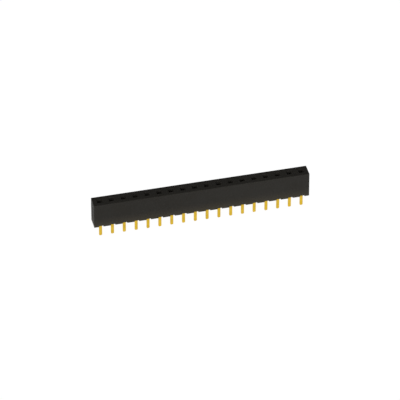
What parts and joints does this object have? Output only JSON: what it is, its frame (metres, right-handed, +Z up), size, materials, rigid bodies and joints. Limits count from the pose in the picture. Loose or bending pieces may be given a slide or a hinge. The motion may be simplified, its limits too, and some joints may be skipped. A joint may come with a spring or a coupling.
{
  "type": "female pin header strip",
  "caption": "Straight single-row female pin header strip: black moulded housing with square sockets on top and gold contacts with flat solder tails below.",
  "frame": {"origin": "centre of the board seat: the plane of the pads under the housing, midway along the row, on the axis of the sockets", "axes": "+Z up out of the sockets, tails point to -Z; X along the row, contact_01 at the -X end; the flat backs of the contacts face -Y, the front in the picture"},
  "size_m": [0.0364, 0.0024, 0.0068],
  "materials": {
    "housing": "black moulded thermoplastic, fine matte surface",
    "contact": "gold flash plating on pressed copper alloy"
  },
  "bodies": {
    "root": {"housing": "housing", "contact_01": "contact", "contact_02": "contact", "contact_03": "contact", "contact_04": "contact", "contact_05": "contact", "contact_06": "contact", "contact_07": "contact", "contact_08": "contact", "contact_09": "contact", "contact_10": "contact", "contact_11": "contact", "contact_12": "contact", "contact_13": "contact", "contact_14": "contact", "contact_15": "contact", "contact_16": "contact", "contact_17": "contact", "contact_18": "contact"}
  },
  "joints": []
}
